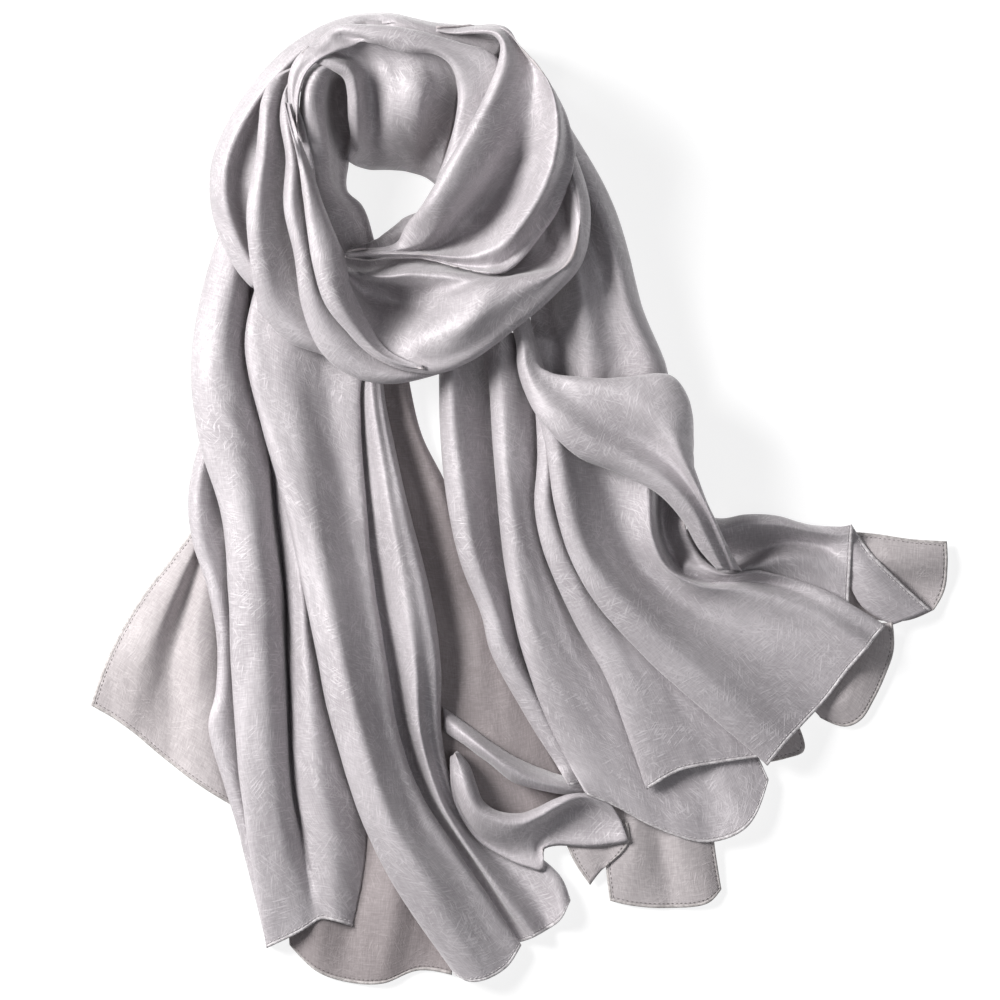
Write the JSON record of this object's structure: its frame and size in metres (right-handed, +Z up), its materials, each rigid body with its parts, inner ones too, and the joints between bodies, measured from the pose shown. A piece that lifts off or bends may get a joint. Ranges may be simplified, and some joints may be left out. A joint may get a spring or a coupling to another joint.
{
  "type": "satin scarf",
  "caption": "Long silver-grey satin scarf wound once into a neck loop and laid flat, its two tails folded and fanned below, with narrow stitched hems.",
  "frame": {"origin": "middle of the laid scarf's outline, on the surface that it lies on", "axes": "+Y from the tails towards the neck loop, +X to the right seen from above, +Z up off the surface"},
  "size_m": [0.6004, 0.6808, 0.098],
  "materials": {
    "satin_face": "silver-grey satin with fine slubs, the shiny side",
    "satin_reverse": "paler matte side of the same cloth"
  },
  "bodies": {
    "root": {"right_far_fold": "satin_face", "right_rear_panel": "satin_face", "lower_middle_fold": "satin_face", "left_side_fold": "satin_face", "left_tail_outer": "satin_face", "left_tail_front": "satin_face", "right_tail_outer": "satin_face", "right_tail_middle": "satin_face", "right_tail_inner": "satin_face", "right_front_panel": "satin_face", "right_shoulder": "satin_face", "twisted_flap": "satin_face", "back_of_neck": "satin_face", "loop_outer_band": "satin_face", "inner_neck_fold": "satin_face", "loop_ridge": "satin_face", "fan_outer_fold": "satin_face", "fan_middle_fold": "satin_face", "front_swag": "satin_face", "fan_inner_fold": "satin_face", "right_band": "satin_face", "lower_right_corner": "satin_reverse", "left_corner_flare": "satin_reverse", "left_tail_under": "satin_reverse", "right_far_corner": "satin_reverse", "right_underside": "satin_reverse", "underside_tip": "satin_reverse", "reverse_panel": "satin_reverse", "lower_middle_corner": "satin_reverse", "hidden_loop_layers": "satin_reverse", "hidden_left_layers": "satin_reverse", "hidden_right_layers": "satin_reverse"}
  },
  "joints": []
}
